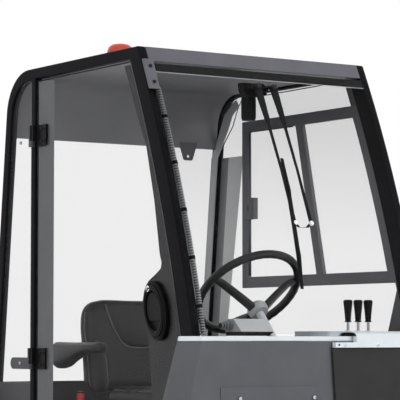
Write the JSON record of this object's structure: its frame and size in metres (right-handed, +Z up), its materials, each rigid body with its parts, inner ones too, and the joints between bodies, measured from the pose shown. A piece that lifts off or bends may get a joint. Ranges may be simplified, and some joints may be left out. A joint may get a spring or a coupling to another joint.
{
  "type": "compact ride-on road sweeper",
  "caption": "Compact ride-on road sweeper with a glazed cab, steered front wheel, side brushes, cylindrical main brush and a rear hopper that tips.",
  "frame": {"origin": "centre of the bounding box at ground level", "axes": "+Z up, -Y to the front, +X to the machine's left"},
  "size_m": [1.5, 2.314, 2.2233],
  "materials": {
    "frame_paint": "dark charcoal powder coat, fine orange peel",
    "roof_paint": "satin grey paint",
    "panel_paint": "satin dark grey paint",
    "clear_glass": "tempered safety glass",
    "chassis_paint": "black chassis paint",
    "floor_paint": "textured dark paint",
    "engine_iron": "as cast",
    "cowl_plastic": "grained grey moulding",
    "lid_plastic": "pale grey moulding",
    "grille_plastic": "black moulding",
    "lever_rubber": "black rubber grips on plated rods",
    "wheel_plastic": "black polyurethane rim",
    "column_plastic": "black moulding and rubber gaiter",
    "seat_steel": "black painted steel",
    "seat_vinyl": "black vinyl",
    "bumper_plastic": "black moulding",
    "lamp_glass": "clear lens",
    "rear_lens": "red lens",
    "cover_plastic": "black grained moulding",
    "tunnel_steel": "black painted sheet",
    "bristle": "polypropylene bristle",
    "tyre_rubber": "solid rubber",
    "rim_paint": "silver grey paint",
    "fitting_black": "black fittings",
    "hopper_paint": "grey paint over steel sheet",
    "rod_chrome": "hard chrome",
    "beacon_lens": "orange lens"
  },
  "bodies": {
    "chassis": {"chassis_frame": "chassis_paint", "cab_floor": "floor_paint", "engine": "engine_iron", "side_frame_left": "frame_paint", "side_frame_right": "frame_paint", "front_header": "frame_paint", "roof_panel": "roof_paint", "windscreen": "clear_glass", "rear_window": "clear_glass", "lower_panels": "panel_paint", "quarter_glass_right": "clear_glass", "side_glass_left": "clear_glass", "slider_frame_left": "fitting_black", "cab_fittings": "fitting_black", "rear_arms": "chassis_paint", "axle_carriers": "chassis_paint", "front_cowl": "cowl_plastic", "cowl_lid": "lid_plastic", "cowl_hatch": "cowl_plastic", "front_panel": "grille_plastic", "lever_console": "lid_plastic", "levers": "lever_rubber", "steering_column": "column_plastic", "brake_lever": "fitting_black", "seat_base": "seat_steel", "seat_cushion": "seat_vinyl", "seat_backrest": "seat_vinyl", "armrests": "seat_vinyl", "bumper": "bumper_plastic", "head_lamps": "lamp_glass", "side_covers": "cover_plastic", "rear_fenders": "cover_plastic", "brush_tunnel": "tunnel_steel", "hinge_posts": "fitting_black", "beacon": "beacon_lens", "wiper": "fitting_black"},
    "steering": {"steering_wheel": "wheel_plastic"},
    "fork": {"front_fork": "chassis_paint"},
    "front_wheel": {"front_tyre": "tyre_rubber", "front_rim": "rim_paint"},
    "rear_wheel_right": {"rear_tyre_right": "tyre_rubber", "rear_rim_right": "rim_paint"},
    "rear_wheel_left": {"rear_tyre_left": "tyre_rubber", "rear_rim_left": "rim_paint"},
    "door_right": {"door_glass_right": "clear_glass", "door_fittings_right": "fitting_black"},
    "main_brush": {"main_brush": "bristle"},
    "side_arm_left": {"side_arm_left": "chassis_paint"},
    "side_arm_right": {"side_arm_right": "chassis_paint"},
    "side_brush_left": {"side_brush_left": "bristle"},
    "side_brush_right": {"side_brush_right": "bristle"},
    "hopper": {"hopper": "hopper_paint", "rear_lamps": "rear_lens"},
    "tailgate": {"tailgate": "hopper_paint"},
    "barrels": {"tipping_barrels": "chassis_paint"},
    "rods": {"tipping_rods": "rod_chrome"}
  },
  "joints": [
    {"name": "fork_steer", "type": "hinge", "parent": "chassis", "child": "fork", "pos_m": [0, -0.647, 0.45], "axis": [0, 0, 1], "range_deg": [-70, 70]},
    {"name": "steering_turn", "type": "hinge", "parent": "chassis", "child": "steering", "pos_m": [-0.035, -0.496, 1.288], "axis": [0, 0.6845, 0.729], "range_deg": [-420, 420]},
    {"name": "front_wheel_spin", "type": "hinge", "parent": "fork", "child": "front_wheel", "pos_m": [0, -0.617, 0.2], "axis": [1, 0, 0], "continuous": true},
    {"name": "rear_wheel_right_spin", "type": "hinge", "parent": "chassis", "child": "rear_wheel_right", "pos_m": [-0.582, 0.453, 0.2], "axis": [1, 0, 0], "continuous": true},
    {"name": "rear_wheel_left_spin", "type": "hinge", "parent": "chassis", "child": "rear_wheel_left", "pos_m": [0.582, 0.453, 0.2], "axis": [1, 0, 0], "continuous": true},
    {"name": "door_right_swing", "type": "hinge", "parent": "chassis", "child": "door_right", "pos_m": [-0.514, 0.253, 1.468], "axis": [0, 0, -1], "range_deg": [0, 85]},
    {"name": "main_brush_spin", "type": "hinge", "parent": "chassis", "child": "main_brush", "pos_m": [0, 0.093, 0.162], "axis": [1, 0, 0], "continuous": true},
    {"name": "side_arm_left_lower", "type": "hinge", "parent": "chassis", "child": "side_arm_left", "pos_m": [0.518, -0.587, 0.44], "axis": [1, 0, 0], "range_deg": [0, 5.5]},
    {"name": "side_arm_right_lower", "type": "hinge", "parent": "chassis", "child": "side_arm_right", "pos_m": [-0.518, -0.587, 0.44], "axis": [1, 0, 0], "range_deg": [0, 5.5]},
    {"name": "side_brush_left_spin", "type": "hinge", "parent": "side_arm_left", "child": "side_brush_left", "pos_m": [0.48, -0.887, 0.18], "axis": [0, 0, 1], "continuous": true},
    {"name": "side_brush_right_spin", "type": "hinge", "parent": "side_arm_right", "child": "side_brush_right", "pos_m": [-0.48, -0.887, 0.18], "axis": [0, 0, 1], "continuous": true},
    {"name": "hopper_tip", "type": "hinge", "parent": "chassis", "child": "hopper", "pos_m": [0, 1.073, 0.22], "axis": [-1, 0, 0], "range_deg": [0, 45]},
    {"name": "tailgate_open", "type": "hinge", "parent": "hopper", "child": "tailgate", "pos_m": [0, 1.126, 0.859], "axis": [1, 0, 0], "range_deg": [0, 70]},
    {"name": "barrel_turn", "type": "hinge", "parent": "chassis", "child": "barrels", "pos_m": [0, 0.703, 0.155], "axis": [-1, 0, 0], "range_deg": [0, 28.17]},
    {"name": "rod_extend", "type": "slide", "parent": "barrels", "child": "rods", "axis": [0, 0.3596, 0.9331], "range_m": [0, 0.2065]}
  ],
  "couplings": [
    {"joint": "steering_turn", "follows": "fork_steer", "ratio": 6},
    {"joint": "barrel_turn", "follows": "hopper_tip", "ratio": 0.62156},
    {"joint": "rod_extend", "follows": "hopper_tip", "m_per_rad": 0.26165}
  ]
}
